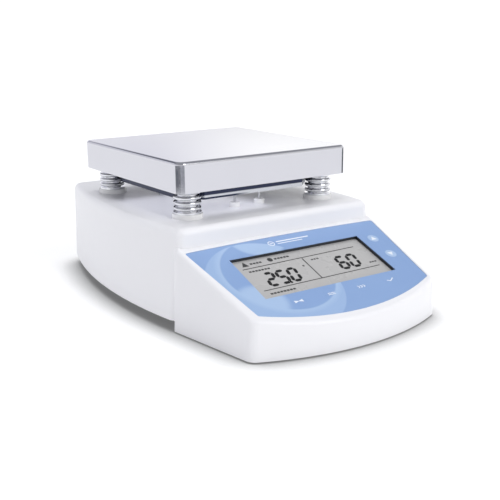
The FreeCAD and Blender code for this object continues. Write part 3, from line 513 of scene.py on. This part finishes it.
def key_marks():
    for name, (u, v) in KEYS.items():
        if name in ("key_up", "key_down"):
            bm = bmesh.new()
            inlay(bm, disc(u, v, 4.4, 40), OVERLAY_TOP + 0.002, 0.02)
            halo = new_object(name + "_halo", bm, "print_pale")
            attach(halo, name + "_body")
        bm = bmesh.new()
        key_symbol(bm, name, u, v)
        mark = new_object(name + "_mark", bm, "print_white")
        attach(mark, name + "_body")


# ---------------------------------------------------------------- stage and light
def stage():
    """Wide white floor with a painted contact shadow: darker close to whatever stands on it or just above it.
    """
    bm = bmesh.new()
    bmesh.ops.create_grid(bm, x_segments=1, y_segments=1, size=60.0)
    mesh = bpy.data.meshes.new("floor")
    bm.to_mesh(mesh)
    bm.free()
    white, black = linear(233, 233, 233), (0.0, 0.0, 0.0, 1.0)
    m = Material("floor_white", white, 0.9, Emission_Color=(1.0, 1.0, 1.0, 1.0))
    # painted contact shadow: ambient occlusion darkens the floor's colour and its glow near the object
    near = m.add("ShaderNodeAmbientOcclusion", samples=16)
    near.inputs["Distance"].default_value = 0.028
    painted_contact_shadow = m.remap(near.outputs["AO"], 0.42, 0.95, 0.34, 1.0)
    mottle = m.remap(m.noise(2.0, 3.0), 0.3, 0.7, 0.99, 1.0)
    shade = m.calc("MULTIPLY", painted_contact_shadow, mottle)
    m.colour(m.mix(shade, black, white))
    m.link(m.calc("MULTIPLY", shade, 0.30), m.bsdf.inputs["Emission Strength"])
    mesh.materials.append(m.mat)
    floor = add_object("floor", mesh)


def sun(name, direction, angle, strength, glossy=True):
    """Distant light from a direction; it lights the whole floor evenly."""
    data = bpy.data.lights.new(name, "SUN")
    data.angle = math.radians(angle)
    data.energy = strength
    obj = add_object(name, data)
    obj.rotation_euler = Vector(direction).to_track_quat("Z", "Y").to_euler()
    obj.visible_glossy = glossy


def glow(name, location, size, power):
    """Small downward light that stands for the light the white bench throws into the gap below the plate."""
    data = bpy.data.lights.new(name, "AREA")
    data.size = size
    data.energy = power
    data.color = (0.90, 0.91, 1.0)
    obj = add_object(name, data)
    obj.location = location
    obj.visible_camera = False
    obj.visible_glossy = False


def card(name, corners, colour):
    """Flat card that only shows in reflections."""
    mesh = bpy.data.meshes.new(name)
    mesh.from_pydata([Vector(c) for c in corners], [], [tuple(range(len(corners)))])
    m = Material(name, colour, 1.0)
    m.vary(0.1, 4.0)
    mesh.materials.append(m.mat)
    obj = add_object(name, mesh)
    obj.visible_camera = False
    obj.visible_diffuse = False
    obj.visible_shadow = False


def floor_sector(name, centre, first, last, near, far, colour):
    """Card on the floor, part of a ring round a point; azimuth 0 is -Y and 90 is +X."""
    def at(azimuth, radius):
        a = math.radians(azimuth)
        return (centre[0] + radius * math.sin(a), centre[1] - radius * math.cos(a), 0.002)
    steps = [first + (last - first) * i / 8 for i in range(9)]
    card(name, [at(a, near) for a in steps] + [at(a, far) for a in reversed(steps)], colour)


def floor_cards():
    """Dark cards that the polished plate's rounded front corners mirror."""
    left, right = (-PLATE / 2, PLATE_FRONT), (PLATE / 2, PLATE_FRONT)
    floor_sector("corner_card_dark", left, -122, -45, 0.47, 0.78, (0.14, 0.15, 0.17, 1.0))
    floor_sector("corner_card_light", left, -45, 12, 0.47, 0.78, (0.34, 0.35, 0.38, 1.0))
    floor_sector("side_card", right, 68, 140, 0.44, 0.85, (0.10, 0.11, 0.13, 1.0))


def world():
    """White studio round the object, by the direction of sight.

    Behind the object it is bright above the horizon, bluer and less bright to the left, and dark higher up.
    The side that the camera stands on is dimmer, the top is mid grey and the horizon is white all round.
    """
    studio = bpy.data.worlds.new("studio")
    bpy.context.scene.world = studio
    studio.use_nodes = True
    t = Tree(studio.node_tree)
    split = t.add("ShaderNodeSeparateXYZ")
    t.link(t.add("ShaderNodeTexCoord").outputs["Generated"], split.inputs[0])
    x, y, z = split.outputs

    behind = t.remap(y, -0.25, 0.25, smooth=True)
    camera_side = t.calc("ADD", t.calc("MULTIPLY", x, -0.75), t.calc("MULTIPLY", y, -0.66))
    camera_side = t.remap(camera_side, 0.1, 0.8, smooth=True)
    bright = t.calc("MULTIPLY", behind, t.remap(z, 0.105, 0.135, smooth=True))
    left = t.remap(t.calc("SUBTRACT", t.calc("MULTIPLY", y, 0.60), x), -0.13, 0.08, smooth=True)
    left = t.calc("MULTIPLY", left, t.calc("MULTIPLY", behind, t.remap(z, 0.05, 0.13, smooth=True)))
    dark = t.calc("MULTIPLY", behind, t.remap(z, 0.36, 0.48, smooth=True))
    top = t.remap(z, 0.52, 0.63, smooth=True)
    above_horizon = t.remap(z, 0.02, 0.16, smooth=True)

    colour = t.mix(camera_side, (1.0, 1.0, 1.0, 1.0), (0.58, 0.58, 0.60, 1.0))
    colour = t.mix(bright, colour, (1.52, 1.52, 1.52, 1.0))
    colour = t.mix(left, colour, (1.02, 1.02, 1.11, 1.0))
    colour = t.mix(dark, colour, (0.20, 0.21, 0.25, 1.0))
    colour = t.mix(top, colour, (0.46, 0.47, 0.50, 1.0))
    colour = t.mix(above_horizon, (1.25, 1.25, 1.25, 1.0), colour)
    back = t.add("ShaderNodeBackground")
    t.link(colour, back.inputs["Color"])
    back.inputs["Strength"].default_value = 0.855
    t.link(back.outputs[0], t.add("ShaderNodeOutputWorld").inputs[0])


# ---------------------------------------------------------------- camera
CAMERA_AZIMUTH = math.radians(-35.0)
CAMERA_ELEVATION = math.radians(14.93)
CAMERA_ROLL = math.radians(-0.35)
CAMERA_TARGET = Vector((0.03675, 0.032, 0.0196))
CAMERA_DISTANCE = 0.7298


def camera():
    level = math.cos(CAMERA_ELEVATION)
    back = Vector((math.sin(CAMERA_AZIMUTH) * level, -math.cos(CAMERA_AZIMUTH) * level,
                   math.sin(CAMERA_ELEVATION)))
    right = (-back).cross(Vector((0, 0, 1))).normalized()
    up = right.cross(-back)
    turned_right = right * math.cos(CAMERA_ROLL) + up * math.sin(CAMERA_ROLL)
    turned_up = up * math.cos(CAMERA_ROLL) - right * math.sin(CAMERA_ROLL)
    data = bpy.data.cameras.new("camera")
    data.lens = 61.12
    data.sensor_width = 36.0
    data.clip_start = 0.01
    obj = add_object("camera", data)
    rotation = Matrix((turned_right, turned_up, back)).transposed().to_4x4()
    obj.matrix_world = Matrix.Translation(CAMERA_TARGET + back * CAMERA_DISTANCE) @ rotation
    bpy.context.scene.camera = obj


# ---------------------------------------------------------------- the whole scene
display_contents()
film()
emblem()
key_marks()
stage()
sun("key", direction=(0.55, -1.7, 1.20), angle=30, strength=0.92)
sun("overhead", direction=(-0.03, 0.12, 1.0), angle=36, strength=1.20, glossy=False)
glow("under_plate_glow", location=(-0.034, 0.010, 0.0832), size=0.09, power=0.021)
floor_cards()
camera()
world()
bpy.context.scene.view_settings.view_transform = "Standard"
